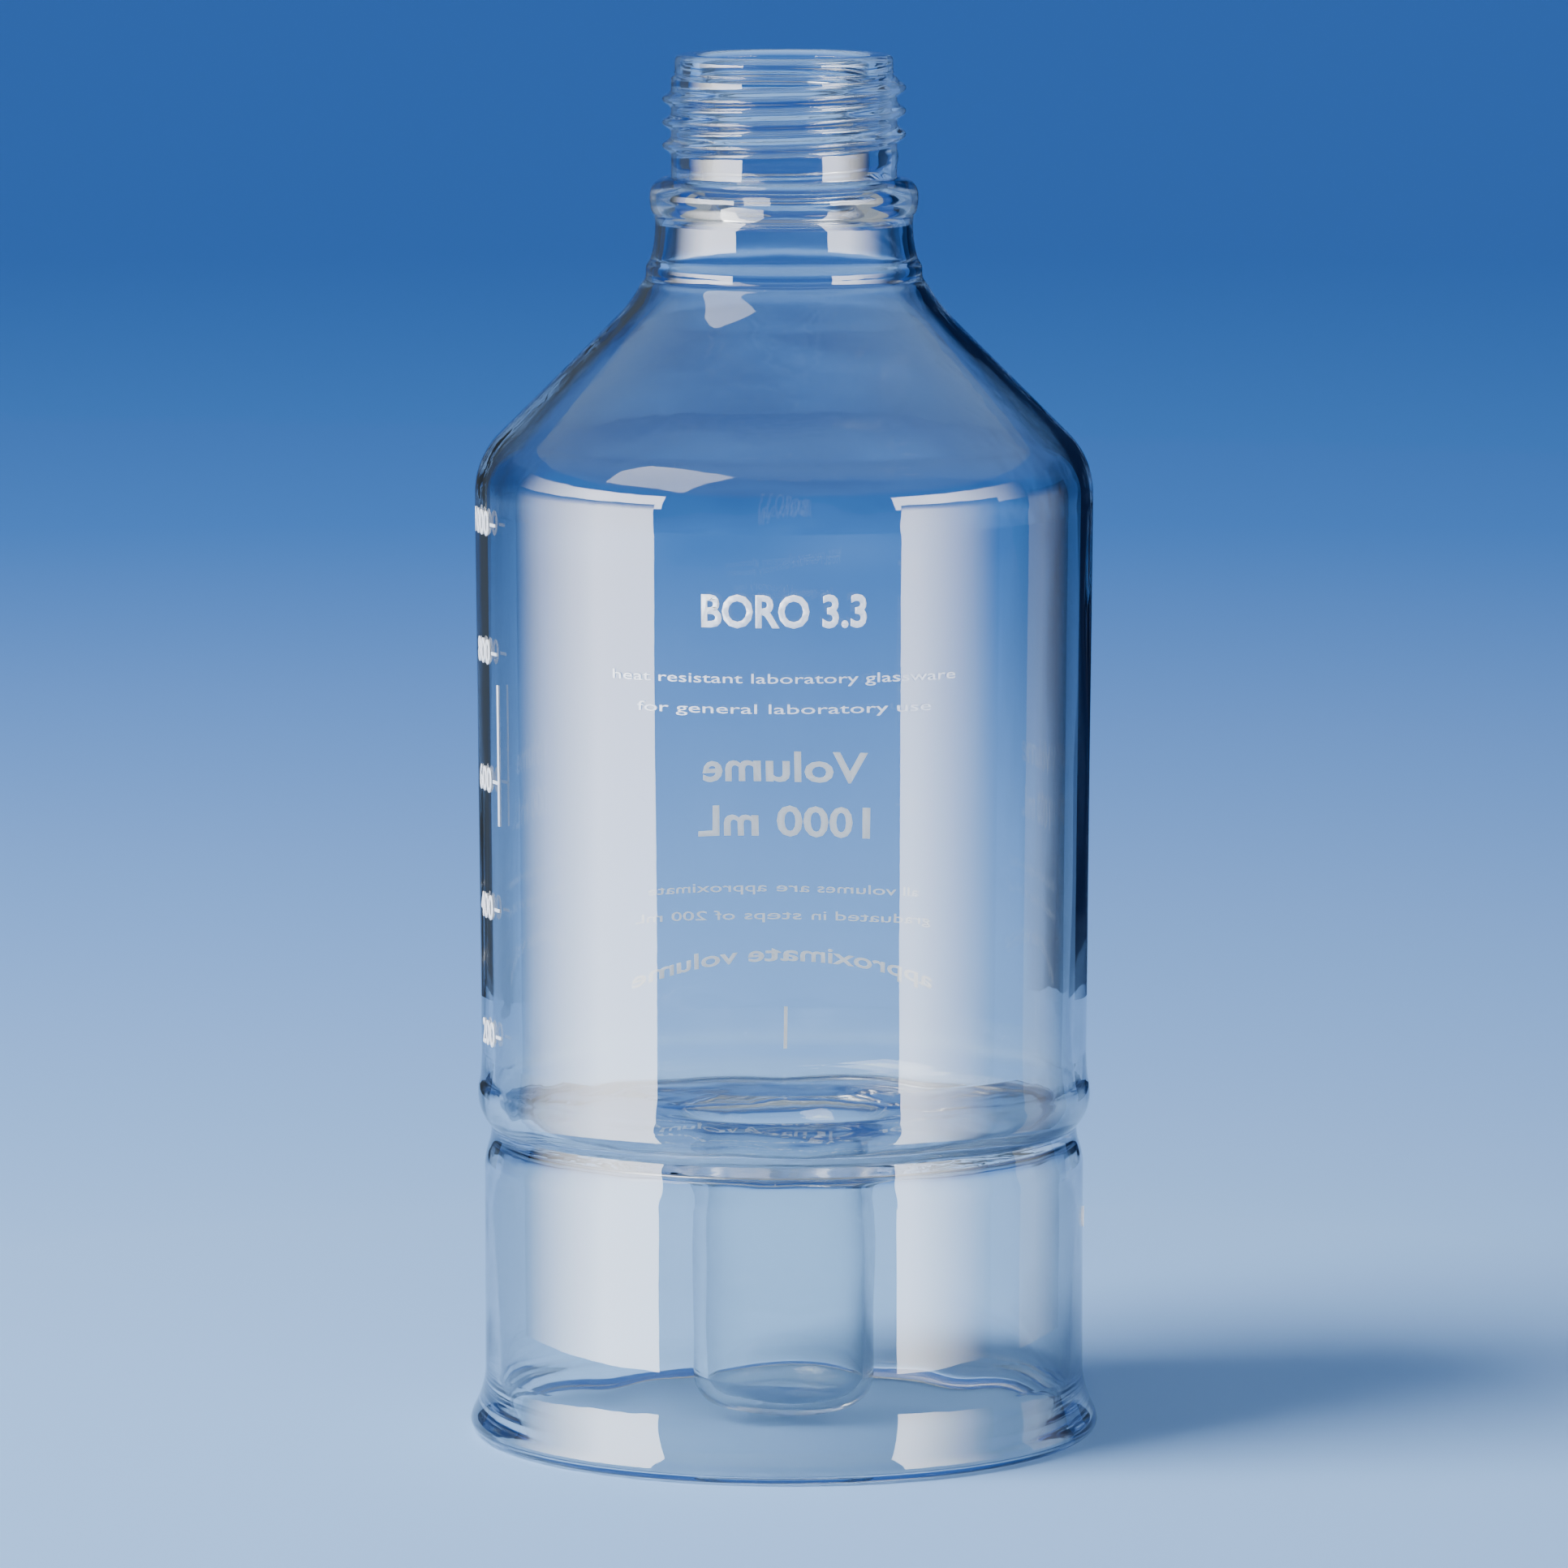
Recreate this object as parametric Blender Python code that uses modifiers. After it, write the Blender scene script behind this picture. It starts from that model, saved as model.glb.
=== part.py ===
"""Laboratory reagent bottle of borosilicate glass, standing on a glass skirt.

The bottle is a lampworked vessel: a screw-thread neck, a cone shoulder and a body
tube over a floor with a closed well, and an open skirt with a flared foot below it.
Every glass blank, every fused seam and every enamel print is its own object.
Metres, +Z up, origin on the table at the middle of the foot.
"""

import math

import bmesh
import bpy

# Fineness of the turned shapes
WIDE_SEGMENTS = 48
NARROW_SEGMENTS = 32
THREAD_POINTS_PER_TURN = 20
GAP = 0.0003
WELD = 0.00001

# Walls shared by the blanks
WALL = 0.0024
WELL_WALL = 0.0022

# Mouth, thread and collar
TOTAL_HEIGHT = 0.2520
LIP_RADIUS = 0.0198
LIP_FILLET = 0.0012
LIP_BAND = 0.0036
LIP_CHAMFER = 0.0006
BORE_RADIUS = 0.0155
NECK_RADIUS = 0.0205
FLARE_RISE = 0.0110
THREAD_TOP = 0.2478
THREAD_BOTTOM = 0.2334
THREAD_RADIUS = 0.0221
THREAD_PITCH = 0.0042
THREAD_BEAD = 0.0015
THREAD_RUN_OUT = 0.0008
THREAD_THIN_END = 0.4
COLLAR_HEIGHT = 0.2264
COLLAR_RADIUS = 0.0244
COLLAR_HALF_HEIGHT = 0.0034

# Throat, cone and shoulder
THROAT_RADIUS = 0.0234
THROAT_BEND = 0.0240
CONE_ANGLE = 45.0
SHOULDER_BEND = 0.0150
BEND_HEIGHT = 0.1725
SHOULDER_CUT = 0.1700

# Body, heel and floor
BODY_TOP_RADIUS = 0.0562
BODY_FOOT_RADIUS = 0.0553
HEEL_CUT = 0.0700
HEEL_RADIUS = 0.0080
HEEL_BULGE = 0.0560
INNER_HEEL = 0.0056
FLOOR_TOP = 0.0575
FLOOR_UNDERSIDE = 0.0545

# Waist, skirt and foot
NOTCH_RADIUS = 0.0536
NOTCH_WALL = 0.0032
NOTCH_BOTTOM = 0.0540
WAIST_SWELL_HEIGHT = 0.0520
WAIST_SWELL = 0.0006
WAIST_SHOULDER = 0.0012
INNER_WAIST_RISE = 0.0020
SKIRT_RADIUS = 0.0548
SKIRT_TOP = 0.0490
FOOT_CUT = 0.0120
FOOT_RADIUS = 0.0575
FOOT_LIP = 0.0022
FOOT_LAND = 0.0016
FOOT_BEVEL = 0.0012

# Closed well under the floor
WELL_RADIUS = 0.0165
WELL_FLARE = 0.0080
WELL_INNER_FLARE = 0.0064
WELL_CORNER = 0.0060
WELL_CUT = 0.0460
WELL_BOTTOM = 0.0045

# Fired enamel
PRINT_THICKNESS = 0.0004
PRINT_STEP = 0.0060
LETTER_HEIGHT = 0.0060
NOTE_HEIGHT = 0.0022
LINE_WIDTH = 0.0007
DIGIT_HEIGHT = 0.0050
DIGIT_WIDTH = 0.0030
DASH_WIDTH = 0.0030
SCALE_ANGLE = 203.0
SCALE_BOTTOM = 0.0752
SCALE_STEP = 0.0233
SCALE_MARKS = 5
SCALE_VOLUME = 200
SCALE_MARGIN = 0.0014
SCALE_LINE_HEIGHT = 0.1268
SCALE_LINE_LENGTH = 0.0256
ARCH_RISE = 0.0045
FRONT = -90.0
BACK = 90.0
RIGHT = -4.0

# One row per print on the body or skirt: name, angle round the bottle, height of its
# middle, width round the glass, its own height, radius of the glass under it, arch
PRINTS = [
    ("glass_type_print", FRONT, 0.1566, 0.0300, LETTER_HEIGHT, BODY_TOP_RADIUS, 0.0),
    ("front_note_upper", FRONT, 0.1444, 0.0660, NOTE_HEIGHT, BODY_TOP_RADIUS, 0.0),
    ("front_note_lower", FRONT, 0.1390, 0.0560, NOTE_HEIGHT, BODY_TOP_RADIUS, 0.0),
    ("volume_print", BACK, 0.1155, 0.0330, LETTER_HEIGHT, BODY_TOP_RADIUS, 0.0),
    ("capacity_print", BACK, 0.1052, 0.0340, LETTER_HEIGHT, BODY_TOP_RADIUS, 0.0),
    ("back_note_upper", BACK, 0.0924, 0.0560, NOTE_HEIGHT, BODY_TOP_RADIUS, 0.0),
    ("back_note_lower", BACK, 0.0872, 0.0620, NOTE_HEIGHT, BODY_TOP_RADIUS, 0.0),
    ("arched_print", BACK, 0.0798, 0.0640, 0.0034, BODY_TOP_RADIUS, ARCH_RISE),
    ("centre_tick", BACK, 0.0662, LINE_WIDTH, 0.0080, HEEL_BULGE, 0.0),
    ("skirt_dot", RIGHT, 0.0398, 0.0040, 0.0040, SKIRT_RADIUS, 0.0),
]

# Where the cone would meet the throat, and where the bend into the throat ends
HALF_TURN = math.tan(math.radians(CONE_ANGLE / 2))
CONE_RISE = (BODY_TOP_RADIUS - THROAT_RADIUS) / math.tan(math.radians(CONE_ANGLE))
CONE_TOP = BEND_HEIGHT + SHOULDER_BEND * HALF_TURN + CONE_RISE
NECK_CUT = CONE_TOP + THROAT_BEND * HALF_TURN

# Centres of the bends, as (radius, height)
THROAT_CENTER = (THROAT_RADIUS + THROAT_BEND, NECK_CUT)
SHOULDER_CENTER = (BODY_TOP_RADIUS - SHOULDER_BEND, BEND_HEIGHT)
HEEL_CENTER = (HEEL_BULGE - HEEL_RADIUS, FLOOR_UNDERSIDE + HEEL_RADIUS)

GLASS = {"color": (0.90, 0.95, 0.96, 1.0), "roughness": 0.03, "metallic": 0.0}
ENAMEL = {"color": (0.92, 0.92, 0.90, 1.0), "roughness": 0.45, "metallic": 0.0}


def clear_scene():
    for old in list(bpy.data.objects):
        bpy.data.objects.remove(old, do_unlink=True)
    for old in list(bpy.data.collections):
        bpy.data.collections.remove(old)


def new_collection(name):
    collection = bpy.data.collections.new(name)
    bpy.context.scene.collection.children.link(collection)
    return collection


def make_material(name, finish):
    material = bpy.data.materials.new(name)
    material.use_nodes = True
    shader = material.node_tree.nodes["Principled BSDF"]
    shader.inputs["Base Color"].default_value = finish["color"]
    shader.inputs["Roughness"].default_value = finish["roughness"]
    shader.inputs["Metallic"].default_value = finish["metallic"]
    return material


def on_circle(center, radius, degrees):
    """A point on a circle in the radius-height plane, the angle counted from outward."""
    angle = math.radians(degrees)
    return (center[0] + radius * math.cos(angle), center[1] + radius * math.sin(angle))


def arc(center, radius, start, end, steps):
    """Evenly spaced points along a circle in the radius-height plane."""
    return [on_circle(center, radius, start + (end - start) * step / steps)
            for step in range(steps + 1)]


def turned(collection, name, profile, segments):
    """A closed profile of (radius, height) points turned about the bottle's axis."""
    mesh = bpy.data.meshes.new(name)
    build = bmesh.new()
    corners = [build.verts.new((radius, 0.0, height)) for radius, height in profile]
    for first, second in zip(corners, corners[1:]):
        build.edges.new((first, second))
    build.edges.new((corners[-1], corners[0]))
    build.to_mesh(mesh)
    build.free()
    piece = bpy.data.objects.new(name, mesh)
    collection.objects.link(piece)
    mesh.materials.append(make_material(name + "_glass", GLASS))
    screw = piece.modifiers.new("turn", "SCREW")
    screw.axis = "Z"
    screw.steps = segments
    screw.render_steps = segments
    screw.use_merge_vertices = True
    screw.merge_threshold = WELD
    screw.use_smooth_shade = True
    return piece


def threaded_neck(collection, cutters):
    below_lip = TOTAL_HEIGHT - LIP_BAND
    bottom = NECK_CUT + GAP
    foot_bore = THROAT_RADIUS - WALL
    profile = [(BORE_RADIUS + LIP_FILLET, TOTAL_HEIGHT)]
    profile += arc((LIP_RADIUS - LIP_FILLET, TOTAL_HEIGHT - LIP_FILLET), LIP_FILLET, 90, 0, 3)
    profile += [(LIP_RADIUS, below_lip), (NECK_RADIUS, below_lip - LIP_CHAMFER)]
    profile += [(NECK_RADIUS, COLLAR_HEIGHT + COLLAR_HALF_HEIGHT)]
    profile += collar_outline()
    profile += [(THROAT_RADIUS, bottom), (foot_bore, bottom)]
    for step in range(1, 5):
        share = step / 4
        eased = 0.5 + 0.5 * math.cos(math.pi * share)
        profile.append((BORE_RADIUS + (foot_bore - BORE_RADIUS) * eased, bottom + FLARE_RISE * share))
    profile += [(BORE_RADIUS, TOTAL_HEIGHT - LIP_FILLET)]
    neck = turned(collection, "threaded_neck", profile, NARROW_SEGMENTS)
    union = neck.modifiers.new("thread", "BOOLEAN")
    union.operation = "UNION"
    union.solver = "EXACT"
    union.object = thread_ridge(cutters)
    return neck


def collar_outline():
    """The round bead under the thread, from the neck down to the throat."""
    points = []
    for step in range(1, 5):
        turn = math.pi * (0.5 - step / 6)
        points.append((NECK_RADIUS + (COLLAR_RADIUS - NECK_RADIUS) * math.cos(turn),
                       COLLAR_HEIGHT + COLLAR_HALF_HEIGHT * math.sin(turn)))
    points.append((THROAT_RADIUS, COLLAR_HEIGHT - COLLAR_HALF_HEIGHT * 0.9))
    return points


def thread_ridge(cutters):
    """The round bead of the screw thread, as a closed tube that tapers out at its ends."""
    turns = (THREAD_TOP - THREAD_BOTTOM) / THREAD_PITCH
    count = int(turns * THREAD_POINTS_PER_TURN)
    curve = bpy.data.curves.new("thread_ridge_path", "CURVE")
    curve.dimensions = "3D"
    curve.bevel_depth = THREAD_BEAD
    curve.bevel_resolution = 2
    curve.use_fill_caps = True
    spline = curve.splines.new("POLY")
    spline.points.add(count)
    for index in range(count + 1):
        share = index / count
        run_in = min(1.0, min(share, 1.0 - share) * turns * 4)
        angle = 2 * math.pi * turns * share
        radius = THREAD_RADIUS - THREAD_BEAD - THREAD_RUN_OUT * (1.0 - run_in)
        height = THREAD_BOTTOM + (THREAD_TOP - THREAD_BOTTOM) * share
        spline.points[index].co = (radius * math.cos(angle), radius * math.sin(angle), height, 1)
        spline.points[index].radius = THREAD_THIN_END + (1.0 - THREAD_THIN_END) * run_in
    path = bpy.data.objects.new("thread_ridge_path", curve)
    cutters.objects.link(path)
    ridge = bpy.data.objects.new("thread_ridge", welded_mesh(path))
    ridge.matrix_world = path.matrix_world
    cutters.objects.link(ridge)
    bpy.data.objects.remove(path)
    ridge.hide_render = True
    ridge.display_type = "WIRE"
    return ridge


def welded_mesh(path):
    """A curve's mesh, with its end caps joined to its tube."""
    depsgraph = bpy.context.evaluated_depsgraph_get()
    mesh = bpy.data.meshes.new_from_object(path.evaluated_get(depsgraph))
    weld = bmesh.new()
    weld.from_mesh(mesh)
    bmesh.ops.remove_doubles(weld, verts=weld.verts, dist=WELD)
    weld.to_mesh(mesh)
    weld.free()
    return mesh


def neck_seam(collection):
    """The fused bend between the neck and the cone, cut square to its wall."""
    spare = math.degrees(GAP / THROAT_BEND)
    first = 180 + spare
    last = 180 + CONE_ANGLE - spare
    profile = arc(THROAT_CENTER, THROAT_BEND, first, last, 5)
    profile += arc(THROAT_CENTER, THROAT_BEND + WALL, last, first, 5)
    return turned(collection, "neck_seam", profile, NARROW_SEGMENTS)


def shoulder_cone(collection):
    """The cone, from the neck's bend down round the shoulder to the body."""
    spare = math.degrees(GAP / THROAT_BEND)
    top_angle = 180 + CONE_ANGLE + spare
    bottom = SHOULDER_CUT + GAP
    profile = [on_circle(THROAT_CENTER, THROAT_BEND, top_angle)]
    profile += arc(SHOULDER_CENTER, SHOULDER_BEND, CONE_ANGLE, 0, 5)
    profile += [(BODY_TOP_RADIUS, bottom), (BODY_TOP_RADIUS - WALL, bottom)]
    profile += arc(SHOULDER_CENTER, SHOULDER_BEND - WALL, 0, CONE_ANGLE, 5)
    profile += [on_circle(THROAT_CENTER, THROAT_BEND + WALL, top_angle)]
    return turned(collection, "shoulder_cone", profile, WIDE_SEGMENTS)


def body_tube(collection):
    top = SHOULDER_CUT - GAP
    bottom = HEEL_CUT + GAP
    profile = [(BODY_TOP_RADIUS, top), (BODY_FOOT_RADIUS, bottom),
               (BODY_FOOT_RADIUS - WALL, bottom), (BODY_TOP_RADIUS - WALL, top)]
    return turned(collection, "body_tube", profile, WIDE_SEGMENTS)


def bottle_floor(collection):
    """The rounded heel and the floor plate, with the well's opening in the middle."""
    top = HEEL_CUT - GAP
    notch_angle = -math.degrees(math.acos((NOTCH_RADIUS - HEEL_CENTER[0]) / HEEL_RADIUS))
    inner_radius = BODY_FOOT_RADIUS - WALL
    hole = WELL_RADIUS + WELL_FLARE + GAP
    profile = [(BODY_FOOT_RADIUS, top)]
    profile += arc(HEEL_CENTER, HEEL_RADIUS, 0, notch_angle, 4)
    profile += [(NOTCH_RADIUS - NOTCH_WALL, FLOOR_UNDERSIDE), (hole, FLOOR_UNDERSIDE)]
    profile += [(hole, FLOOR_TOP), (inner_radius - INNER_HEEL, FLOOR_TOP)]
    profile += arc((inner_radius - INNER_HEEL, FLOOR_TOP + INNER_HEEL), INNER_HEEL, -60, 0, 3)
    profile += [(inner_radius, top)]
    return turned(collection, "bottle_floor", profile, WIDE_SEGMENTS)


def waist_seam(collection):
    """The ring of glass that fuses the skirt to the heel of the bottle."""
    notch_drop = math.sqrt(HEEL_RADIUS ** 2 - (NOTCH_RADIUS - HEEL_CENTER[0]) ** 2)
    notch_top = HEEL_CENTER[1] - notch_drop
    bottom = SKIRT_TOP + GAP
    profile = [(NOTCH_RADIUS, notch_top - 2 * GAP), (NOTCH_RADIUS, NOTCH_BOTTOM),
               (NOTCH_RADIUS + WAIST_SWELL, WAIST_SWELL_HEIGHT),
               (SKIRT_RADIUS, SKIRT_TOP + WAIST_SHOULDER),
               (SKIRT_RADIUS, bottom), (SKIRT_RADIUS - WALL, bottom),
               (SKIRT_RADIUS - WALL, SKIRT_TOP + INNER_WAIST_RISE),
               (NOTCH_RADIUS - NOTCH_WALL, FLOOR_UNDERSIDE - 2 * GAP)]
    return turned(collection, "waist_seam", profile, WIDE_SEGMENTS)


def skirt_tube(collection):
    top = SKIRT_TOP - GAP
    bottom = FOOT_CUT + GAP
    profile = [(SKIRT_RADIUS, top), (SKIRT_RADIUS, bottom),
               (SKIRT_RADIUS - WALL, bottom), (SKIRT_RADIUS - WALL, top)]
    return turned(collection, "skirt_tube", profile, WIDE_SEGMENTS)


def foot_ring(collection):
    """The flared foot, fire-polished round its edge and flat where it stands."""
    top = FOOT_CUT - GAP
    center = (FOOT_RADIUS - FOOT_LIP, FOOT_LIP)
    spread = FOOT_RADIUS - SKIRT_RADIUS
    profile = [(SKIRT_RADIUS, top), (SKIRT_RADIUS + spread * 0.12, top * 0.76),
               (SKIRT_RADIUS + spread * 0.45, top * 0.52)]
    profile += arc(center, FOOT_LIP, 15, -90, 4)
    profile += [(center[0] - FOOT_LAND, 0.0)]
    profile += [(center[0] - FOOT_LAND - FOOT_BEVEL, FOOT_BEVEL)]
    profile += [(SKIRT_RADIUS - WALL + spread * 0.20, top * 0.52), (SKIRT_RADIUS - WALL, top)]
    return turned(collection, "foot_ring", profile, WIDE_SEGMENTS)


def well_seam(collection):
    """The flared collar that joins the well to the floor."""
    outer = WELL_RADIUS + WELL_FLARE - GAP
    outer_center = (WELL_RADIUS + WELL_FLARE, FLOOR_UNDERSIDE - WELL_FLARE)
    inner_center = (WELL_RADIUS - WELL_WALL + WELL_INNER_FLARE, FLOOR_TOP - WELL_INNER_FLARE)
    profile = [(outer, FLOOR_TOP), (outer, FLOOR_UNDERSIDE)]
    profile += arc(outer_center, WELL_FLARE, 108, 180, 4)
    profile += [(WELL_RADIUS, WELL_CUT + GAP), (WELL_RADIUS - WELL_WALL, WELL_CUT + GAP)]
    profile += arc(inner_center, WELL_INNER_FLARE, 180, 90, 5)
    return turned(collection, "well_seam", profile, NARROW_SEGMENTS)


def well_tube(collection):
    """The closed well that hangs from the floor, like the end of a test tube."""
    top = WELL_CUT - GAP
    corner_center = (WELL_RADIUS - WELL_CORNER, WELL_BOTTOM + WELL_CORNER)
    profile = [(WELL_RADIUS, top)]
    profile += arc(corner_center, WELL_CORNER, 0, -90, 4)
    profile += [(0.0, WELL_BOTTOM), (0.0, WELL_BOTTOM + WELL_WALL)]
    profile += arc(corner_center, WELL_CORNER - WELL_WALL, -90, 0, 3)
    profile += [(WELL_RADIUS - WELL_WALL, top)]
    return turned(collection, "well_tube", profile, NARROW_SEGMENTS)


def print_patch(collection, name, angle, height, width, tall, glass_radius, arch=0.0):
    """A thin curved plate of enamel on the glass, width measured round the surface."""
    columns = max(1, round(width / PRINT_STEP))
    reach = glass_radius + GAP
    build = bmesh.new()
    bmesh.ops.create_grid(build, x_segments=columns, y_segments=1, size=0.5)
    for vert in build.verts:
        across, up = vert.co.x, vert.co.y
        turn = math.radians(angle) + across * width / reach
        level = height + up * tall - arch * (2 * across) ** 2
        vert.co = (reach * math.cos(turn), reach * math.sin(turn), level)
    mesh = bpy.data.meshes.new(name)
    build.to_mesh(mesh)
    build.free()
    patch = bpy.data.objects.new(name, mesh)
    collection.objects.link(patch)
    mesh.materials.append(make_material(name + "_enamel", ENAMEL))
    plate = patch.modifiers.new("enamel", "SOLIDIFY")
    plate.thickness = PRINT_THICKNESS
    plate.offset = 1.0
    return patch


def graduated_scale(collection):
    """The numbered marks, one for each 200 millilitres, and the line beside them."""
    for step in range(SCALE_MARKS):
        digits = str(SCALE_VOLUME * (step + 1))
        width = len(digits) * DIGIT_WIDTH + DASH_WIDTH
        aside = math.degrees((0.5 * width + SCALE_MARGIN) / BODY_TOP_RADIUS)
        print_patch(collection, "graduation_" + digits, SCALE_ANGLE - aside,
                    SCALE_BOTTOM + SCALE_STEP * step, width, DIGIT_HEIGHT, BODY_TOP_RADIUS)
    print_patch(collection, "scale_line", SCALE_ANGLE, SCALE_LINE_HEIGHT, LINE_WIDTH,
                SCALE_LINE_LENGTH, BODY_TOP_RADIUS)


def main():
    clear_scene()
    bottle = new_collection("reagent_bottle")
    cutters = new_collection("cutters")
    threaded_neck(bottle, cutters)
    neck_seam(bottle)
    shoulder_cone(bottle)
    body_tube(bottle)
    bottle_floor(bottle)
    waist_seam(bottle)
    well_seam(bottle)
    well_tube(bottle)
    skirt_tube(bottle)
    foot_ring(bottle)
    graduated_scale(bottle)
    for row in PRINTS:
        print_patch(bottle, *row)


main()
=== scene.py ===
import math
import bmesh
import bpy
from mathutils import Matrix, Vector, noise


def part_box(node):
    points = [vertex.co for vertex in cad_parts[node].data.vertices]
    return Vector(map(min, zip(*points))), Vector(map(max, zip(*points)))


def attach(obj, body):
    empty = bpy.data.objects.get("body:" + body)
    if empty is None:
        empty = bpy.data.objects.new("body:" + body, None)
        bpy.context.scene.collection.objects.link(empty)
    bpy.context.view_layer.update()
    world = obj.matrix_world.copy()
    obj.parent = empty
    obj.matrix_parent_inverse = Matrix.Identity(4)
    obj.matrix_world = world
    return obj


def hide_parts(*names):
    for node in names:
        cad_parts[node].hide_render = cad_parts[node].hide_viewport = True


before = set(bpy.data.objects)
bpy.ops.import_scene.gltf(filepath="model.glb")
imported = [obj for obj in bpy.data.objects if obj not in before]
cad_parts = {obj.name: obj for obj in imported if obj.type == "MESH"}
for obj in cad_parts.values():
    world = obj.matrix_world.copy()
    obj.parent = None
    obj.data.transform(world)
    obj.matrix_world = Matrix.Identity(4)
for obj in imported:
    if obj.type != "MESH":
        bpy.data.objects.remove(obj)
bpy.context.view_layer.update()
scene = bpy.context.scene
tiny = 0.000001          # points closer than this are one point


def jointHeight(upper, lower):
    # middle of the small gap between two stacked nodes
    return (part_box(upper)[0].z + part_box(lower)[1].z) / 2


def outerRadius(node):
    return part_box(node)[1].x


bottle = {
    "wall": 0.0024,
    "ringSteps": 144,                # facets round the bottle
    "pathStep": 0.0025,              # longest straight piece along a profile
    "calmReach": 0.006,              # no unevenness at a joint, all of it this far away
    "top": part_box("threaded_neck")[1].z,
    "neckCut": jointHeight("threaded_neck", "neck_seam"),
    "shoulderCut": jointHeight("shoulder_cone", "body_tube"),
    "heelCut": jointHeight("body_tube", "bottle_floor"),
    "skirtCut": jointHeight("waist_seam", "skirt_tube"),
    "footCut": jointHeight("skirt_tube", "foot_ring"),
    "wellCut": jointHeight("well_seam", "well_tube"),
    "underside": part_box("bottle_floor")[0].z,
    "bodyTopRadius": outerRadius("body_tube"),
    "bodyFootRadius": 0.0553,
    "skirtRadius": outerRadius("skirt_tube"),
    "heelBulge": outerRadius("bottle_floor"),
    "wellRadius": outerRadius("well_tube"),
    "wellBottom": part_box("well_tube")[0].z,
    "throatRadius": 0.0234,
    "floorTop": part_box("well_seam")[1].z,
}


class Wire:
    # a node output that can be used in Python expressions

    def __init__(self, kit, socket):
        self.kit = kit
        self.socket = socket

    def maths(self, operation, first, second):
        node = self.kit.add("ShaderNodeMath", {"operation": operation}, {0: first, 1: second})
        return Wire(self.kit, node.outputs[0])

    def __add__(self, other):
        return self.maths("ADD", self, other)

    def __radd__(self, other):
        return self.maths("ADD", other, self)

    def __mul__(self, other):
        return self.maths("MULTIPLY", self, other)

    def __rmul__(self, other):
        return self.maths("MULTIPLY", other, self)

    def __pow__(self, other):
        return self.maths("POWER", self, other)

    def __rpow__(self, other):
        return self.maths("POWER", other, self)


class NodeKit:
    # one material or world tree, and the single way nodes are added to it

    def __init__(self, owner):
        owner.use_nodes = True
        self.tree = owner.node_tree
        self.tree.nodes.clear()

    def add(self, kind, settings=None, sockets=None):
        node = self.tree.nodes.new(kind)
        for key, value in (settings or {}).items():
            setattr(node, key, value)
        for key, value in (sockets or {}).items():
            if isinstance(value, Wire):
                self.tree.links.new(value.socket, node.inputs[key])
            else:
                node.inputs[key].default_value = value
        return node

    def wire(self, node, output=0):
        return Wire(self, node.outputs[output])

    def objectPlace(self, stretch=(1, 1, 1)):
        place = self.add("ShaderNodeTexCoord")
        mapping = self.add("ShaderNodeMapping", None,
                           {"Vector": Wire(self, place.outputs["Object"]), "Scale": stretch})
        return self.wire(mapping)

    def noiseOn(self, place, scale, detail, roughness):
        node = self.add("ShaderNodeTexNoise", None,
                        {"Vector": place, "Scale": scale, "Detail": detail, "Roughness": roughness})
        return self.wire(node)

    def band(self, value, low, high):
        # 0 below low, 1 above high
        node = self.add("ShaderNodeMapRange", {"clamp": True},
                        {"Value": value, "From Min": low, "From Max": high})
        return self.wire(node)

    def blendColor(self, factor, first, second):
        node = self.add("ShaderNodeMix", {"data_type": "RGBA"},
                        {"Factor": factor, "A": first, "B": second})
        return Wire(self, node.outputs["Result"])

    def finish(self, shader):
        self.add("ShaderNodeOutputMaterial", None, {"Surface": self.wire(shader)})


glassLook = {
    "ior": 1.474,
    "clear": (0.985, 0.995, 0.990, 1.0),
    "tinted": (0.950, 0.980, 0.970, 1.0),
    "edge": (0.01, 0.03, 0.10, 1.0),     # painted shade: glass colour darkened where the wall is seen along it, standing in for the long way through the wall
    "paintedEdgeShadePower": 2.2,
    "ripple": 0.00006,
    "drawn": {"stretch": (1, 1, 0.25), "scale": 70.0},
    "worked": {"stretch": (1, 1, 1), "scale": 130.0},
    "smudgeScale": 38.0,
    "smudgeFrom": 0.52,
    "smudgeTo": 0.78,
    "smudgeRoughness": 0.02,
}


def makeGlass(name, streaks):
    material = bpy.data.materials.new(name)
    kit = NodeKit(material)
    draw = kit.noiseOn(kit.objectPlace(streaks["stretch"]), streaks["scale"], 2.0, 0.45)
    smudge = kit.noiseOn(kit.objectPlace(), glassLook["smudgeScale"], 4.0, 0.6)
    wiped = kit.band(smudge, glassLook["smudgeFrom"], glassLook["smudgeTo"])
    bump = kit.add("ShaderNodeBump", None,
                   {"Strength": 1.0, "Distance": glassLook["ripple"], "Height": draw})
    facing = kit.wire(kit.add("ShaderNodeLayerWeight", None, {"Blend": 0.5}), 1)
    body = kit.blendColor(draw, glassLook["clear"], glassLook["tinted"])
    shader = kit.add("ShaderNodeBsdfPrincipled", None, {
        # painted shade: the base colour turns dark towards the silhouettes by the facing angle
        "Base Color": kit.blendColor(facing ** glassLook["paintedEdgeShadePower"], body, glassLook["edge"]),
        "Roughness": wiped * glassLook["smudgeRoughness"],
        "Normal": kit.wire(bump),
        "IOR": glassLook["ior"],
        "Transmission Weight": 1.0,
    })
    kit.finish(shader)
    return material


def makeClearJoint():
    # the plane where two fused blanks meet: it can't be seen inside the glass
    material = bpy.data.materials.new("fusedJoint")
    kit = NodeKit(material)
    shader = kit.add("ShaderNodeBsdfPrincipled", None, {
        "Base Color": (1.0, 1.0, 1.0, 1.0),
        "Roughness": 0.0,
        "Alpha": 0.0,
    })
    kit.finish(shader)
    return material


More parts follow.
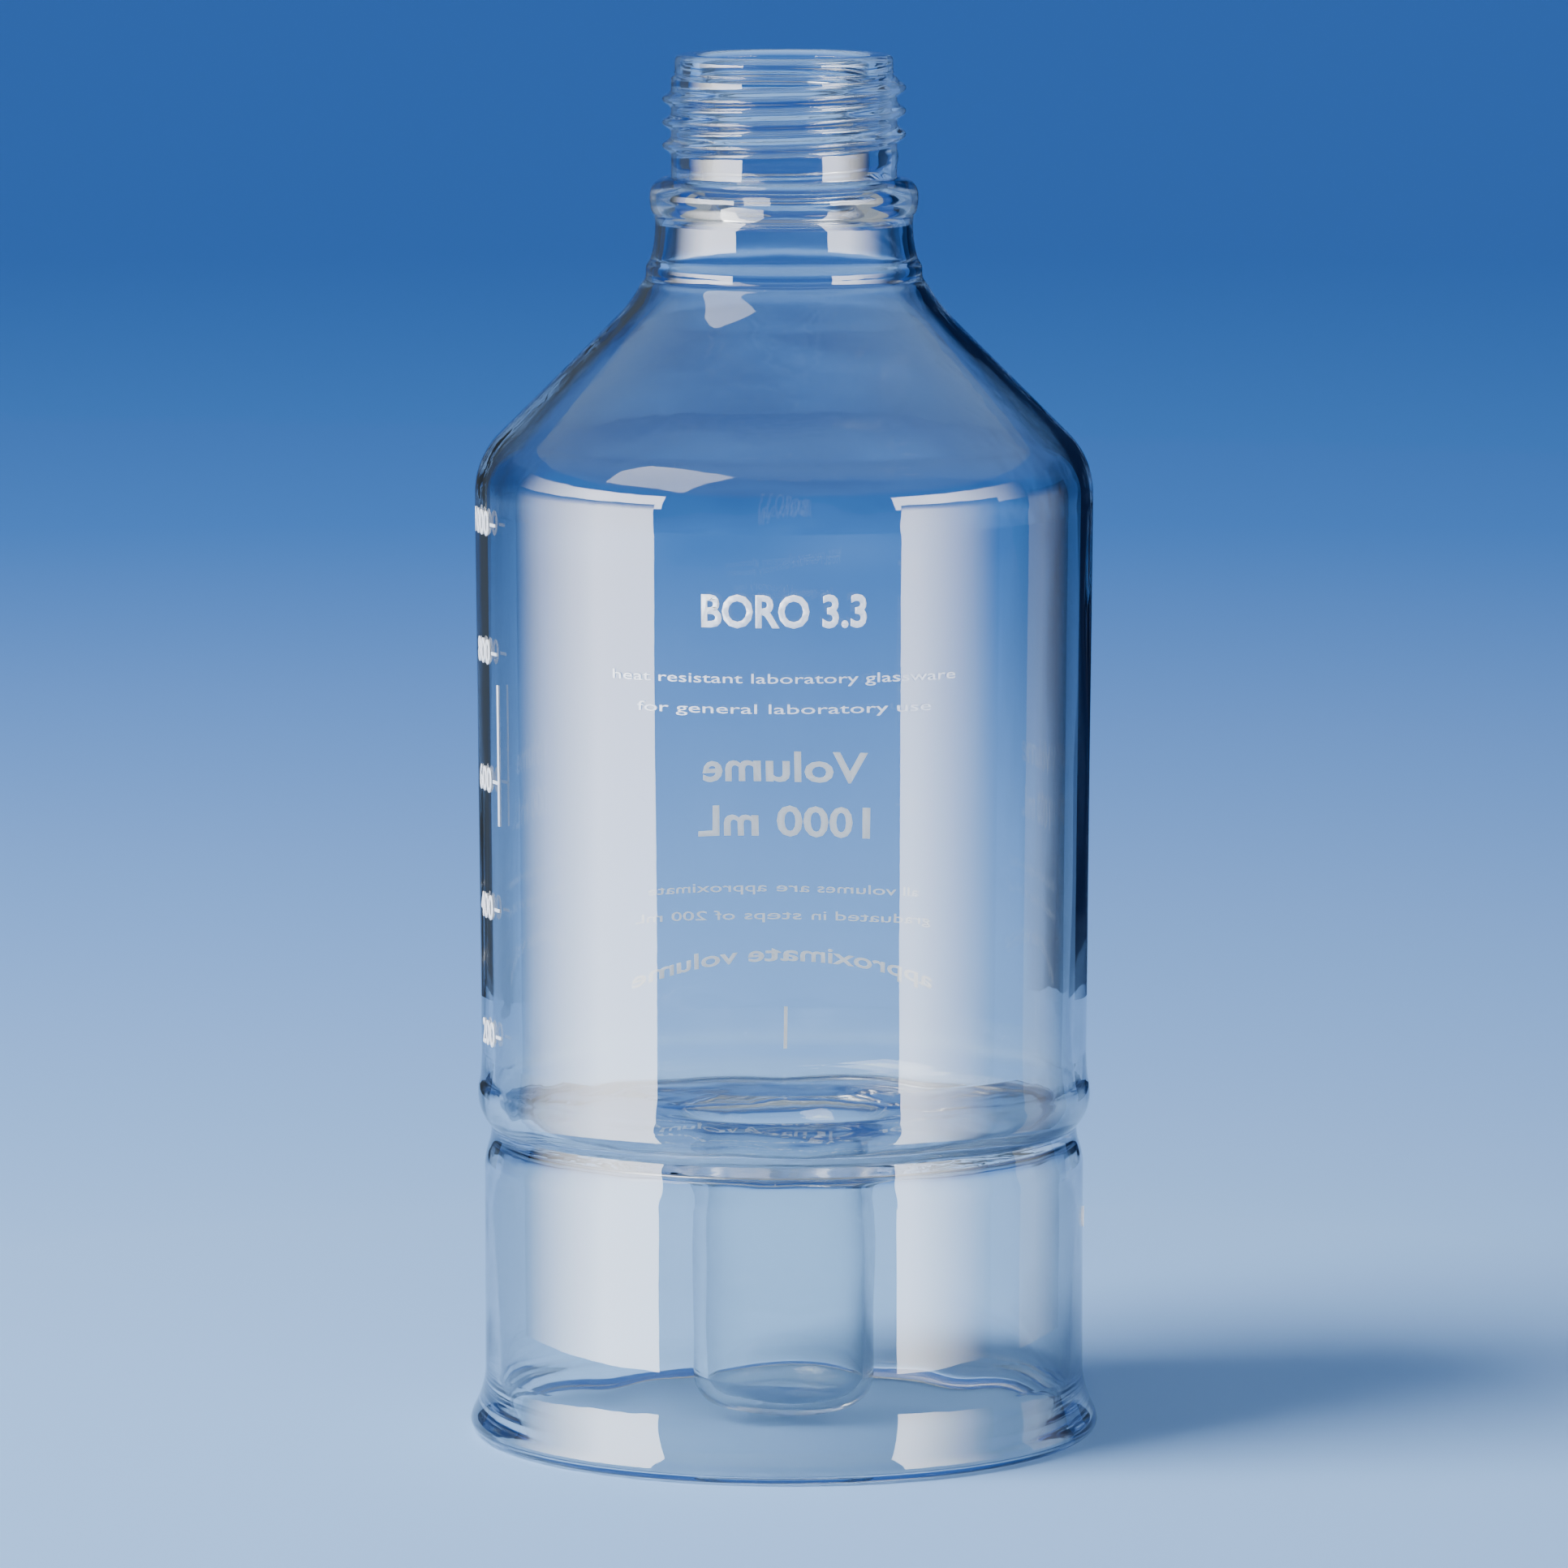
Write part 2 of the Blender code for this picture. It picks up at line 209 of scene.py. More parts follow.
enamelLook = {
    "white": (0.94, 0.95, 0.95, 1.0),
    "worn": (0.84, 0.87, 0.90, 1.0),
    "paintedGlow": 0.55,            # painted light: the enamel glows evenly so that prints seen through the glass stay white, standing in for light that comes through the thin fired colour from its other side
    "grainScale": 2600.0,
    "grainDepth": 0.00003,
    "cloudScale": 320.0,
    "cloudFrom": 0.35,
    "cloudTo": 0.7,
    "roughness": 0.32,
    "roughSpread": 0.25,
}


def makeEnamel():
    material = bpy.data.materials.new("firedEnamel")
    kit = NodeKit(material)
    place = kit.objectPlace()
    grain = kit.noiseOn(place, enamelLook["grainScale"], 3.0, 0.6)
    cloud = kit.noiseOn(place, enamelLook["cloudScale"], 3.0, 0.55)
    wear = kit.band(cloud, enamelLook["cloudFrom"], enamelLook["cloudTo"])
    bump = kit.add("ShaderNodeBump", None,
                   {"Strength": 0.6, "Distance": enamelLook["grainDepth"], "Height": grain})
    shader = kit.add("ShaderNodeBsdfPrincipled", None, {
        "Base Color": kit.blendColor(wear, enamelLook["white"], enamelLook["worn"]),
        "Roughness": enamelLook["roughness"] + grain * enamelLook["roughSpread"],
        # painted light: every print glows a little white
        "Emission Color": (1.0, 1.0, 1.0, 1.0),
        "Emission Strength": enamelLook["paintedGlow"],
        "Normal": kit.wire(bump),
    })
    kit.finish(shader)
    return material


def onCircle(center, radius, degrees):
    turn = math.radians(degrees)
    return (center[0] + radius * math.cos(turn), center[1] + radius * math.sin(turn))


def arc(center, radius, start, end, steps):
    return [onCircle(center, radius, start + (end - start) * step / steps) for step in range(steps + 1)]


def along(path, longest):
    # the same path with its long straight pieces cut into short ones
    points = [path[0]]
    for (r0, z0), (r1, z1) in zip(path, path[1:]):
        pieces = max(1, math.ceil(math.hypot(r1 - r0, z1 - z0) / longest))
        for piece in range(1, pieces + 1):
            share = piece / pieces
            points.append((r0 + (r1 - r0) * share, z0 + (z1 - z0) * share))
    return points


fineWander = {"share": 0.4, "scale": 2.3, "shift": (7.1, 2.3, 5.9)}


def glassWander(place, stretch):
    # slow unevenness of hand-worked glass, between about -1 and 1
    slow = Vector((place.x * stretch[0], place.y * stretch[0], place.z * stretch[1]))
    fine = slow * fineWander["scale"] + Vector(fineWander["shift"])
    return noise.noise(slow) + fineWander["share"] * noise.noise(fine)


# sway: how far the outside and the inside wander; stretch: how fast, round and up the glass
unevenness = {
    "neckGlass": {"sway": (0.0, 0.00005), "stretch": (42.0, 16.0)},
    "throatSeamGlass": {"sway": (0.00003, 0.00008), "stretch": (42.0, 16.0)},
    "coneGlass": {"sway": (0.00006, 0.00016), "stretch": (34.0, 34.0)},
    "bodyGlass": {"sway": (0.00004, 0.00016), "stretch": (40.0, 13.0)},
    "floorGlass": {"sway": (0.00005, 0.00030), "stretch": (75.0, 60.0)},
    "waistSeamGlass": {"sway": (0.00022, 0.00045), "stretch": (150.0, 70.0)},
    "wellSeamGlass": {"sway": (0.00003, 0.00008), "stretch": (90.0, 90.0)},
    "wellGlass": {"sway": (0.00004, 0.00012), "stretch": (80.0, 30.0)},
    "skirtGlass": {"sway": (0.00006, 0.00022), "stretch": (48.0, 30.0)},
    "footGlass": {"sway": (0.00004, 0.00004), "stretch": (60.0, 60.0)},
}


def turnedGlass(name, walls, reshape=None):
    # walls are paths of (radius, height); neighbouring paths meet in a straight joint face
    sway, stretch = unevenness[name]["sway"], unevenness[name]["stretch"]
    spun = bmesh.new()
    loose = spun.verts.layers.float.new("loose")
    ends = []
    corners = []
    for index, wall in enumerate(walls):
        path = along(wall, bottle["pathStep"])
        length = [0.0]
        for first, second in zip(path, path[1:]):
            length.append(length[-1] + math.hypot(second[0] - first[0], second[1] - first[1]))
        fromPole = path[0][0] < tiny
        toPole = path[-1][0] < tiny
        for point, run in zip(path, length):
            vert = spun.verts.new((point[0], 0.0, point[1]))
            free = bottle["calmReach"]
            if not fromPole:
                free = min(free, run)
            if not toPole:
                free = min(free, length[-1] - run)
            ease = free / bottle["calmReach"]
            vert[loose] = sway[min(index, 1)] * ease * ease * (3 - 2 * ease)
            corners.append(vert)
        ends.append((len(corners) - len(path), len(corners) - 1))
    for first, last in ends:
        for index in range(first, last):
            spun.edges.new((corners[index], corners[index + 1]))
    joints = []
    for index, (first, last) in enumerate(ends):
        after = ends[(index + 1) % len(ends)][0]
        start, stop = corners[last], corners[after]
        if (start.co - stop.co).length < tiny:
            continue
        if start.co.x < tiny and stop.co.x < tiny:
            continue
        spun.edges.new((start, stop))
        joints.append((start.co.copy(), stop.co.copy()))
    bmesh.ops.spin(spun, geom=spun.verts[:] + spun.edges[:], cent=(0, 0, 0), axis=(0, 0, 1),
                   angle=2 * math.pi, steps=bottle["ringSteps"], use_merge=True)
    bmesh.ops.remove_doubles(spun, verts=spun.verts, dist=tiny)
    bmesh.ops.recalc_face_normals(spun, faces=spun.faces)
    markJoints(spun, joints)
    spun.normal_update()
    for vert in spun.verts:
        if vert[loose] > 0:
            vert.co += vert.normal * vert[loose] * glassWander(vert.co, stretch)
    if reshape:
        reshape(spun)
    for face in spun.faces:
        face.smooth = True
    for edge in spun.edges:
        slots = {face.material_index for face in edge.link_faces}
        if len(slots) > 1:
            edge.smooth = False
    return spun


def markJoints(spun, joints):
    # faces that lie across a joint get the second material
    for face in spun.faces:
        spots = [(math.hypot(vert.co.x, vert.co.y), vert.co.z) for vert in face.verts]
        for ends in joints:
            away = [min(math.hypot(r - end.x, z - end.z) for end in ends) for r, z in spots]
            if max(away) < 2 * tiny:
                face.material_index = 1


def placePiece(name, spun, materials, node):
    mesh = bpy.data.meshes.new(name)
    spun.to_mesh(mesh)
    spun.free()
    for material in materials:
        mesh.materials.append(material)
    piece = bpy.data.objects.new(name, mesh)
    scene.collection.objects.link(piece)
    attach(piece, "root")
    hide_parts(node)


neckShape = {
    "lip": 0.0012,
    "lipRadius": 0.0198,
    "lipDrop": 0.0030,
    "groove": 0.0010,
    "grooveOffset": 0.0003,
    "grooveDrop": 0.0037,
    "neckDrop": 0.0042,
    "neckRadius": 0.0205,
    "boreRadius": 0.0155,
    "threadRadius": 0.0221,
    "threadTop": 0.2478,
    "threadBottom": 0.2334,
    "pitch": 0.0042,
    "threadStep": 0.0003,
    "bead": 0.00105,
    "beadPower": 2.6,
    "beadFade": 3.0,
    "beadStart": 0.15,
    "collarRadius": 0.0244,
    "collarHeight": 0.2264,
    "collarHalf": 0.0034,
    "collarPower": 0.8,
    "collarSteps": 18,
    "flareSteps": 20,
    "flareRise": 0.0110,
}


def threadOnNeck(spun):
    # a round bead that climbs the neck and fades out at both ends
    shape = neckShape
    turns = (shape["threadTop"] - shape["threadBottom"]) / shape["pitch"]
    for vert in spun.verts:
        radius = math.hypot(vert.co.x, vert.co.y)
        if radius < (shape["neckRadius"] + shape["boreRadius"]) / 2:
            continue
        if not shape["threadBottom"] - shape["pitch"] < vert.co.z < bottle["top"] - shape["neckDrop"]:
            continue
        share = math.atan2(vert.co.y, vert.co.x) / (2 * math.pi) % 1.0
        climb = (vert.co.z - shape["threadBottom"]) / shape["pitch"]
        turn = round(climb - share) + share
        fade = min(turn, turns - turn) * shape["beadFade"] + shape["beadStart"]
        fade = min(1.0, max(0.0, fade))
        away = abs(climb - turn) * shape["pitch"]
        bead = math.exp(-(away / shape["bead"]) ** shape["beadPower"]) * fade
        height = shape["threadRadius"] - shape["neckRadius"]
        grow = 1 + bead * height / radius
        vert.co.x *= grow
        vert.co.y *= grow


def neckBlank():
    shape = neckShape
    top, lip = bottle["top"], shape["lip"]
    cut = bottle["neckCut"]
    outer = [(shape["boreRadius"] + lip, top)]
    outer += arc((shape["lipRadius"] - lip, top - lip), lip, 90, 0, 8)
    outer += [(shape["lipRadius"], top - shape["lipDrop"])]
    groove = (shape["neckRadius"] + shape["grooveOffset"], top - shape["grooveDrop"])
    outer += arc(groove, shape["groove"], 135, 180, 3)[1:]
    threadZone = [(shape["neckRadius"], top - shape["neckDrop"]),
                  (shape["neckRadius"], shape["collarHeight"] + shape["collarHalf"])]
    outer += along(threadZone, shape["threadStep"])
    for step in range(1, shape["collarSteps"]):
        turn = math.pi * (0.5 - step / shape["collarSteps"])
        base = shape["neckRadius"] if turn > 0 else bottle["throatRadius"]
        outer.append((base + (shape["collarRadius"] - base) * math.cos(turn) ** shape["collarPower"],
                      shape["collarHeight"] + shape["collarHalf"] * math.sin(turn)))
    outer += [(bottle["throatRadius"], cut)]
    footBore = bottle["throatRadius"] - bottle["wall"]
    inner = [(footBore, cut)]
    for step in range(1, shape["flareSteps"] + 1):
        share = step / shape["flareSteps"]
        eased = 0.5 + 0.5 * math.cos(math.pi * share)
        inner.append((shape["boreRadius"] + (footBore - shape["boreRadius"]) * eased,
                      cut + shape["flareRise"] * share))
    inner += [(shape["boreRadius"], top - lip)]
    inner += arc((shape["boreRadius"] + lip, top - lip), lip, 180, 90, 8)[1:]
    return turnedGlass("neckGlass", [outer, inner], threadOnNeck)


throat = {
    "bend": 0.0240,
    "steps": 48,
    "ridge": 0.00035,
    "ridgePlace": 0.42,
    "ridgeWidth": 0.055,
    "groove": 0.00025,
    "groovePlace": 0.54,
    "grooveWidth": 0.05,
    "innerRidge": 0.0004,
    "innerPlace": 0.46,
    "innerWidth": 0.07,
}


def throatCenter():
    return (bottle["throatRadius"] + throat["bend"], bottle["neckCut"])


def swell(share, height, place, width):
    return height * math.exp(-((share - place) / width) ** 2)


def throatSeam():
    # bend between neck and cone, with the faint ring that the flame left
    bend = throat["bend"]
    center = throatCenter()
    outer = []
    for step in range(throat["steps"] + 1):
        share = step / throat["steps"]
        ridge = swell(share, throat["ridge"], throat["ridgePlace"], throat["ridgeWidth"])
        ridge -= swell(share, throat["groove"], throat["groovePlace"], throat["grooveWidth"])
        outer.append(onCircle(center, bend - ridge, 180 + 45 * share))
    inner = []
    for step in range(throat["steps"] + 1):
        share = 1 - step / throat["steps"]
        ridge = swell(share, throat["innerRidge"], throat["innerPlace"], throat["innerWidth"])
        inner.append(onCircle(center, bend + bottle["wall"] + ridge, 180 + 45 * share))
    return turnedGlass("throatSeamGlass", [outer, inner])


shoulder = {"bend": 0.0150, "land": 0.0022}


def coneBlank():
    top, wall = bottle["bodyTopRadius"], bottle["wall"]
    center = (top - shoulder["bend"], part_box("shoulder_cone")[0].z + shoulder["land"])
    outer = [onCircle(throatCenter(), throat["bend"], 225)]
    outer += arc(center, shoulder["bend"], 45, 0, 20)
    outer += [(top, bottle["shoulderCut"])]
    inner = [(top - wall, bottle["shoulderCut"])]
    inner += arc(center, shoulder["bend"] - wall, 0, 45, 20)
    inner += [onCircle(throatCenter(), throat["bend"] + wall, 225)]
    return turnedGlass("coneGlass", [outer, inner])


def bodyBlank():
    top, foot, wall = bottle["bodyTopRadius"], bottle["bodyFootRadius"], bottle["wall"]
    outer = [(top, bottle["shoulderCut"]), (foot, bottle["heelCut"])]
    inner = [(foot - wall, bottle["heelCut"]), (top - wall, bottle["shoulderCut"])]
    return turnedGlass("bodyGlass", [outer, inner])


heel = {
    "radius": 0.0080,
    "innerRadius": 0.0056,
    "notchRadius": 0.0536,
    "notchInner": 0.0504,
    "hole": 0.0245,
    "bulgeStart": 18,
    "landOut": 0.0001,
    "land": 0.0025,
    "waistDip": 0.0002,
    "waistLand": 0.0008,
    "waistSteps": 15,
    "liningSteps": 12,
}


def heelCenter():
    return (bottle["heelBulge"] - heel["radius"], bottle["underside"] + heel["radius"])


def notchPoint():
    center = heelCenter()
    drop = math.sqrt(heel["radius"] ** 2 - (heel["notchRadius"] - center[0]) ** 2)
    return (heel["notchRadius"], center[1] - drop)


def floorPlate():
    center = heelCenter()
    foot, wall = bottle["bodyFootRadius"], bottle["wall"]
    angle = -math.degrees(math.acos((heel["notchRadius"] - center[0]) / heel["radius"]))
    innerHeel = heel["innerRadius"]
    outer = [(foot, bottle["heelCut"]), (foot + heel["landOut"], bottle["heelCut"] - heel["land"])]
    outer += arc(center, heel["radius"], heel["bulgeStart"], angle, 18)
    underside = [(heel["notchInner"], bottle["underside"]), (heel["hole"], bottle["underside"])]
    inner = [(heel["hole"], bottle["floorTop"]), (foot - wall - innerHeel, bottle["floorTop"])]
    inner += arc((foot - wall - innerHeel, bottle["floorTop"] + innerHeel), innerHeel, -90, 0, 16)[1:]
    inner += [(foot - wall, bottle["heelCut"])]
    return turnedGlass("floorGlass", [outer, underside, inner])


def waistSeam():
    notch = notchPoint()
    skirt, cut = bottle["skirtRadius"], bottle["skirtCut"]
    outer = [notch]
    for step in range(1, heel["waistSteps"]):
        share = step / heel["waistSteps"]
        eased = share * share * (3 - 2 * share)
        dip = heel["waistDip"] * math.sin(math.pi * share)
        outer.append((notch[0] - dip + (skirt - notch[0]) * eased,
                      notch[1] + (cut + heel["waistLand"] - notch[1]) * share))
    outer += [(skirt, cut)]
    lining = skirt - bottle["wall"]
    inner = [(lining, cut)]
    for step in range(1, heel["liningSteps"] + 1):
        turn = math.pi / 2 * step / heel["liningSteps"]
        inner.append((lining - (lining - heel["notchInner"]) * (1 - math.cos(turn)),
                      cut + (bottle["underside"] - cut) * math.sin(turn)))
    return turnedGlass("waistSeamGlass", [outer, inner])


well = {"wall": 0.0022, "corner": 0.0060, "flare": 0.0080}


def wellSeam():
    radius, wall, flare = bottle["wellRadius"], well["wall"], well["flare"]
    outerCenter = (radius + flare, bottle["underside"] - flare)
    innerFlare = heel["hole"] - radius + wall
    innerCenter = (heel["hole"], bottle["floorTop"] - innerFlare)
    outer = arc(outerCenter, flare, 90, 180, 20)
    outer += [(radius, bottle["wellCut"])]
    inner = [(radius - wall, bottle["wellCut"])]
    inner += arc(innerCenter, innerFlare, 180, 90, 20)
    return turnedGlass("wellSeamGlass", [outer, inner])


def wellTube():
    radius, wall, corner = bottle["wellRadius"], well["wall"], well["corner"]
    center = (radius - corner, bottle["wellBottom"] + corner)
    outer = [(radius, bottle["wellCut"])]
    outer += arc(center, corner, 0, -90, 16)
    outer += [(0.0, bottle["wellBottom"])]
    inner = [(0.0, bottle["wellBottom"] + wall)]
    inner += arc(center, corner - wall, -90, 0, 14)
    inner += [(radius - wall, bottle["wellCut"])]
    return turnedGlass("wellGlass", [outer, inner])


def skirtBlank():
    radius, wall = bottle["skirtRadius"], bottle["wall"]
    outer = [(radius, bottle["skirtCut"]), (radius, bottle["footCut"])]
    inner = [(radius - wall, bottle["footCut"]), (radius - wall, bottle["skirtCut"])]
    return turnedGlass("skirtGlass", [outer, inner])


foot = {
    "radius": 0.0575,
    "lip": 0.0022,
    "innerLip": 0.0014,
    "lipLand": 0.0006,
    "land": 0.0016,
    "lipStart": 4,
    "innerLipEnd": -165,
    "flarePower": 1.9,
    "flareSteps": 14,
}


def footBlank():
    skirt, wall, top = bottle["skirtRadius"], bottle["wall"], bottle["footCut"]
    center = (foot["radius"] - foot["lip"], foot["lip"])
    spread = foot["radius"] - skirt
    outer = [(skirt, top)]
    for step in range(1, foot["flareSteps"]):
        share = step / foot["flareSteps"]
        eased = share ** foot["flarePower"]
        outer.append((skirt + spread * eased, top + (foot["lip"] + foot["lipLand"] - top) * share))
    outer += arc(center, foot["lip"], foot["lipStart"], -90, 14)
    innerCenter = (center[0] - foot["land"], foot["innerLip"])
    outer += [(innerCenter[0], 0.0)]
    outer += arc(innerCenter, foot["innerLip"], -90, foot["innerLipEnd"], 8)[1:]
    lastRadius, lastHeight = outer[-1]
    for step in range(1, foot["flareSteps"] + 1):
        share = step / foot["flareSteps"]
        eased = (1 - share) ** foot["flarePower"]
        outer.append((skirt - wall + (lastRadius - skirt + wall) * eased,
                      lastHeight + (top - lastHeight) * share))
    return turnedGlass("footGlass", [outer])


prints = {
    "clear": 0.00007,       # hair of air under the fired colour, so that it stays white from behind
    "thick": 0.00012,
    "column": 0.0010,       # widest flat piece of a letter before it is bent
    "capShare": 0.73,       # height of a capital as a share of the font's size
    "scaleAngle": 203.0,
    "digitHeight": 0.0046,
    "digitBold": 0.00008,
    "digitGap": 0.0040,
    "markPlace": -0.0016,
    "markSize": (0.0026, 0.00055),
    "ruleWidth": 0.00060,
    "tickWidth": 0.00055,
    "frontAngle": -90,
    "backAngle": 90,
    "dotRadius": 0.0019,
    "dotAngle": -4,
}

# tall: height of a capital letter; bold: how far each stroke is widened
frontWords = {
    "glassType": {"node": "glass_type_print", "text": "BORO 3.3",
                  "tall": 0.0058, "bold": 0.00022, "width": 0.0295, "arch": 0.0},
    "frontNoteUpper": {"node": "front_note_upper", "text": "heat resistant laboratory glassware",
                       "tall": 0.0018, "bold": 0.0, "width": 0.0640, "arch": 0.0},
    "frontNoteLower": {"node": "front_note_lower", "text": "for general laboratory use",
                       "tall": 0.0018, "bold": 0.0, "width": 0.0540, "arch": 0.0},
}

backWords = {
    "volumeWord": {"node": "volume_print", "text": "Volume",
                   "tall": 0.0058, "bold": 0.00016, "width": 0.0320, "arch": 0.0},
    "capacityWord": {"node": "capacity_print", "text": "1000 mL",
                     "tall": 0.0058, "bold": 0.00016, "width": 0.0330, "arch": 0.0},
    "backNoteUpper": {"node": "back_note_upper", "text": "all volumes are approximate",
                      "tall": 0.0018, "bold": 0.0, "width": 0.0540, "arch": 0.0},
    "backNoteLower": {"node": "back_note_lower", "text": "graduated in steps of 200 mL",
                      "tall": 0.0018, "bold": 0.0, "width": 0.0600, "arch": 0.0},
    "archedWords": {"node": "arched_print", "text": "approximate volume",
                    "tall": 0.0030, "bold": 0.00006, "width": 0.0610, "arch": 0.0045},
}


def bodyRadiusAt(height):
    share = (height - bottle["heelCut"]) / (bottle["shoulderCut"] - bottle["heelCut"])
    share = min(max(share, 0.0), 1.0)
    return bottle["bodyFootRadius"] + (bottle["bodyTopRadius"] - bottle["bodyFootRadius"]) * share


def flatText(text, capHeight, bold):
    curve = bpy.data.curves.new("words", "FONT")
    curve.body = text
    curve.size = capHeight / prints["capShare"]
    curve.align_x = "CENTER"
    curve.offset = bold
    curve.resolution_u = 3
    writer = bpy.data.objects.new("words", curve)
    scene.collection.objects.link(writer)
    bpy.context.view_layer.update()
    mesh = bpy.data.meshes.new_from_object(writer.evaluated_get(bpy.context.evaluated_depsgraph_get()))
    flat = bmesh.new()
    flat.from_mesh(mesh)
    bpy.data.objects.remove(writer)
    bpy.data.meshes.remove(mesh)
    bmesh.ops.remove_doubles(flat, verts=flat.verts, dist=tiny)
    return flat


def centred(flat):
    # puts the middle at the origin and gives the width
    xs = [vert.co.x for vert in flat.verts]
    ys = [vert.co.y for vert in flat.verts]
    middle = Vector(((min(xs) + max(xs)) / 2, (min(ys) + max(ys)) / 2, 0))
    bmesh.ops.translate(flat, verts=flat.verts, vec=-middle)
    return max(xs) - min(xs)


def addBar(flat, x, y, width, height):
    made = bmesh.ops.create_grid(flat, x_segments=1, y_segments=1, size=0.5)["verts"]
    bmesh.ops.scale(flat, verts=made, vec=(width, height, 1))
    bmesh.ops.translate(flat, verts=made, vec=(x, y, 0))


def wrapPrint(flat, angle, height, arch=0.0, radius=None):
    # thin solid letters, bent round the glass; x runs round it and y up it
    xs = [vert.co.x for vert in flat.verts]
    reach = radius or bodyRadiusAt(height)
    half = max(abs(min(xs)), abs(max(xs)))
    column = min(xs) + prints["column"]
    while column < max(xs):
        bmesh.ops.bisect_plane(flat, geom=flat.verts[:] + flat.edges[:] + flat.faces[:], dist=tiny,
                               plane_co=(column, 0, 0), plane_no=(1, 0, 0))
        column += prints["column"]
    bmesh.ops.recalc_face_normals(flat, faces=flat.faces)
    for face in flat.faces:
        if face.normal.z < 0:
            face.normal_flip()
    raised = bmesh.ops.extrude_face_region(flat, geom=flat.faces[:])["geom"]
    raisedVerts = [item for item in raised if isinstance(item, bmesh.types.BMVert)]
    bmesh.ops.translate(flat, verts=raisedVerts, vec=(0, 0, prints["thick"]))
    bmesh.ops.recalc_face_normals(flat, faces=flat.faces)
    for vert in flat.verts:
        turn = math.radians(angle) + vert.co.x / reach
        level = height + vert.co.y - arch * (vert.co.x / half) ** 2
        local = radius or bodyRadiusAt(level)
        out = local + prints["clear"] + vert.co.z
        vert.co = (out * math.cos(turn), out * math.sin(turn), level)


def printMiddle(node):
    low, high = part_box(node)
    return (low.z + high.z) / 2


def wordPrint(name, look, angle, enamel):
    flat = flatText(look["text"], look["tall"], look["bold"])
    long = centred(flat)
    bmesh.ops.scale(flat, verts=flat.verts, vec=(look["width"] / long, 1, 1))
    wrapPrint(flat, angle, printMiddle(look["node"]) + look["arch"] / 2, look["arch"])
    placePiece(name, flat, [enamel], look["node"])


def linePrint(name, node, angle, width, enamel):
    low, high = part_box(node)
    flat = bmesh.new()
    addBar(flat, 0, 0, width, high.z - low.z)
    wrapPrint(flat, angle, printMiddle(node))
    placePiece(name, flat, [enamel], node)


def scalePrints(enamel):
    for step in range(1, 6):
        digits = str(200 * step)
        node = "graduation_" + digits
        flat = flatText(digits, prints["digitHeight"], prints["digitBold"])
        long = centred(flat)
        bmesh.ops.translate(flat, verts=flat.verts, vec=(-long / 2 - prints["digitGap"], 0, 0))
        addBar(flat, prints["markPlace"], 0, *prints["markSize"])
        wrapPrint(flat, prints["scaleAngle"], printMiddle(node))
        placePiece("mark" + digits, flat, [enamel], node)
    linePrint("scaleRule", "scale_line", prints["scaleAngle"], prints["ruleWidth"], enamel)


def facePrints(enamel):
    for name, look in frontWords.items():
        wordPrint(name, look, prints["frontAngle"], enamel)
    for name, look in backWords.items():
        wordPrint(name, look, prints["backAngle"], enamel)
    linePrint("centreTick", "centre_tick", prints["backAngle"], prints["tickWidth"], enamel)


# painted highlight: a small white enamel dot on the skirt's right side, put where the glass shows a
# bright glint
def skirtHighlightDot(enamel):
    flat = bmesh.new()
    bmesh.ops.create_circle(flat, cap_ends=True, radius=prints["dotRadius"], segments=32)
    wrapPrint(flat, prints["dotAngle"], printMiddle("skirt_dot"), radius=bottle["skirtRadius"])
    placePiece("skirtHighlightDot", flat, [enamel], "skirt_dot")


stageLook = {
    "floorNear": (0.30, 0.52, 0.88, 1.0),
    "floorFar": (0.09, 0.30, 0.80, 1.0),
    "nearReach": 0.25,
    "farReach": 1.7,
    "deepPower": 0.7,
    "contactGap": 0.0002,
    "flatRadius": 3.0,
    "sweepRadius": 2.2,
    "rimHeight": 3.2,
    "worldHorizon": (0.45, 0.62, 0.90, 1.0),
    "worldTop": (0.80, 0.88, 0.96, 1.0),
    "worldStrength": 0.42,
    "worldFade": 0.7,
    "panelFalloff": 1.5,
    "keyGlow": 21.0,
    "keyPlace": (-1.15, -0.60, 1.7),
    "keyTarget": (0.0, 0.0, 0.1),
    "keySize": (1.1, 1.1),
}

# angles in degrees round the bottle: 0 is the front, 90 the right
softboxes = {
    "leftSoftbox": {"radius": 0.15, "low": 0.001, "high": 0.196, "topFade": 0.014,
                    "start": -40, "end": -100, "fullFrom": -60, "glow": 30.0},
    "rightSoftbox": {"radius": 0.15, "low": 0.001, "high": 0.196, "topFade": 0.014,
                     "start": 36, "end": 72, "fullFrom": 40, "glow": 24.0},
    "leftNeckLight": {"radius": 0.30, "low": 0.205, "high": 0.285, "topFade": 0.006,
                      "start": -42, "end": -110, "fullFrom": -70, "glow": 34.0},
    "rightNeckLight": {"radius": 0.30, "low": 0.205, "high": 0.285, "topFade": 0.006,
                       "start": 38, "end": 95, "fullFrom": 55, "glow": 28.0},
    "farSoftbox": {"radius": 0.15, "low": 0.001, "high": 0.196, "topFade": 0.014,
                   "start": 86, "end": 112, "fullFrom": 94, "glow": 1.5},
}

# dark cards at the back of the table draw the dark outline of the glass
darkCards = {
    "leftCard": {"radius": 0.55, "low": 0.001, "high": 0.45, "topFade": 0.05,
                 "start": -140, "end": -170, "fullFrom": -162, "dark": (0.07, 0.09, 0.12, 1.0)},
    "rightCard": {"radius": 0.55, "low": 0.001, "high": 0.45, "topFade": 0.05,
                  "start": 140, "end": 172, "fullFrom": 165, "dark": (0.006, 0.012, 0.045, 1.0)},
}


